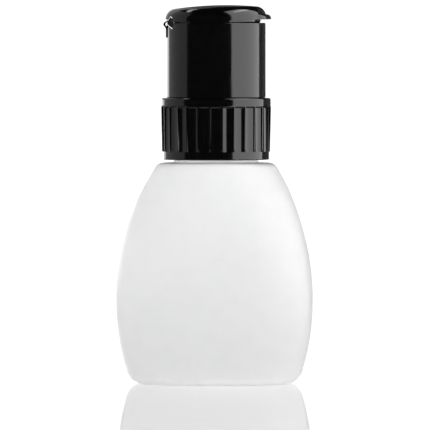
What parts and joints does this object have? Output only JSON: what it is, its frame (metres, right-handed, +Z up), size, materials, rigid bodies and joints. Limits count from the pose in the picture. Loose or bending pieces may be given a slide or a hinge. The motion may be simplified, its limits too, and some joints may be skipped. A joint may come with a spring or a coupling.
{
  "type": "push-down pump dispenser bottle",
  "caption": "Flattened oval plastic bottle with a ribbed screw collar and a push-down dish pump under a hinged flip lid, for wetting a pad or brush with solvent.",
  "frame": {"origin": "centre of the bottle's base on the surface it stands on, on the axis shared by neck, collar and pump", "axes": "+Z up along the pump's axis; +X towards the lid's thumb tab, with the lid's hinge at -X; +Y through the flattened back of the bottle, away from the viewer"},
  "size_m": [0.07, 0.052, 0.1343],
  "materials": {
    "bottle_plastic": "satin white polyethylene",
    "black_gloss": "glossy black polypropylene",
    "natural_plastic": "natural polypropylene",
    "dish_plastic": "glossy white plastic",
    "tube_plastic": "translucent polyethylene tube",
    "gasket_foam": "foamed polyethylene washer",
    "seal_rubber": "soft rubber",
    "steel": "stainless steel"
  },
  "bodies": {
    "bottle": {"bottle": "bottle_plastic"},
    "gasket": {"neck_gasket": "gasket_foam"},
    "pump_head": {"upper_housing": "black_gloss", "pump_chamber": "natural_plastic", "chamber_gland": "natural_plastic", "stem_seal": "seal_rubber", "ball_cage": "natural_plastic", "dip_tube": "tube_plastic", "return_spring": "steel", "hinge_strap": "black_gloss"},
    "collar": {"collar": "black_gloss"},
    "plunger": {"press_dish": "dish_plastic", "outlet_nozzle": "dish_plastic", "stem": "natural_plastic", "piston": "natural_plastic"},
    "inlet_ball": {"inlet_ball": "steel"},
    "outlet_ball": {"outlet_ball": "steel"},
    "snap_panels": {"snap_panel_front": "black_gloss", "snap_panel_back": "black_gloss"},
    "lid": {"lid": "black_gloss"}
  },
  "joints": [
    {"name": "head_lift", "type": "slide", "parent": "bottle", "child": "gasket", "axis": [0, 0, 1], "range_m": [0, 0.13]},
    {"name": "head_rise", "type": "slide", "parent": "gasket", "child": "pump_head", "axis": [0, 0, 1], "range_m": [0, 0.005]},
    {"name": "collar_turn", "type": "hinge", "parent": "pump_head", "child": "collar", "pos_m": [0, 0, 0.09], "axis": [0, 0, 1], "range_deg": [0, 540]},
    {"name": "press", "type": "slide", "parent": "pump_head", "child": "plunger", "axis": [0, 0, -1], "range_m": [0, 0.008], "stiffness_N_per_m": 500, "springref_m": -0.008, "deforming": ["return_spring"]},
    {"name": "inlet_ball_lift", "type": "slide", "parent": "pump_head", "child": "inlet_ball", "axis": [0, 0, 1], "range_m": [0, 0.0008]},
    {"name": "outlet_ball_lift", "type": "slide", "parent": "plunger", "child": "outlet_ball", "axis": [0, 0, 1], "range_m": [0, 0.0007]},
    {"name": "lid_flip", "type": "hinge", "parent": "pump_head", "child": "lid", "pos_m": [-0.018, 0, 0.12775], "axis": [0, -1, 0], "range_deg": [-1.8, 160]},
    {"name": "snap_panel_swing", "type": "hinge", "parent": "pump_head", "child": "snap_panels", "pos_m": [-0.018, 0, 0.12775], "axis": [0, -1, 0], "range_deg": [-0.91, 80.1]}
  ],
  "couplings": [
    {"joint": "head_rise", "follows": "collar_turn", "m_per_rad": 0.00050532},
    {"joint": "snap_panel_swing", "follows": "lid_flip", "ratio": 0.5}
  ]
}
